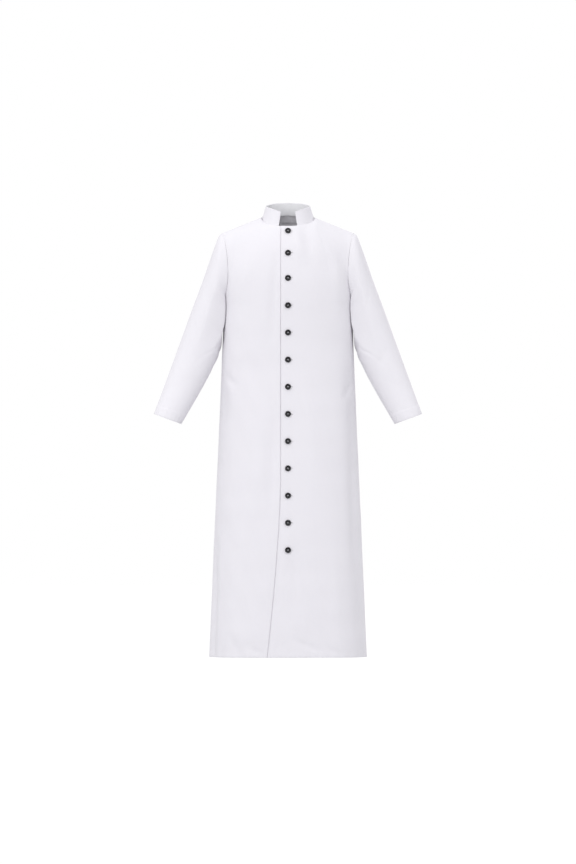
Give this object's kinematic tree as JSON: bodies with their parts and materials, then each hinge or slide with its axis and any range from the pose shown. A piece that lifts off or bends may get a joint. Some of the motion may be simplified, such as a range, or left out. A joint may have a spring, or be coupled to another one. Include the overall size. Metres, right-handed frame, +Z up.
{
  "type": "cassock",
  "caption": "Long stand-collar cassock with set-in sleeves and a lapped front closed by a row of round buttons, in the hollow form it has when worn.",
  "frame": {"origin": "middle of the neck, level with the neckline at its two sides, where the cassock rests on the wearer's neck and shoulders", "axes": "+Z up, towards the collar; -Y the way the buttoned front faces; +X the wearer's left"},
  "size_m": [0.8932, 0.3889, 1.5201],
  "materials": {
    "white_cloth": "smooth matt plain-weave suiting, pressed",
    "black_button": "polished"
  },
  "bodies": {
    "root": {"front_left": "white_cloth", "front_right": "white_cloth", "back": "white_cloth", "sleeve_left": "white_cloth", "sleeve_right": "white_cloth", "collar": "white_cloth", "button_01": "black_button", "button_02": "black_button", "button_03": "black_button", "button_04": "black_button", "button_05": "black_button", "button_06": "black_button", "button_07": "black_button", "button_08": "black_button", "button_09": "black_button", "button_10": "black_button", "button_11": "black_button", "button_12": "black_button", "button_13": "black_button"}
  },
  "joints": []
}
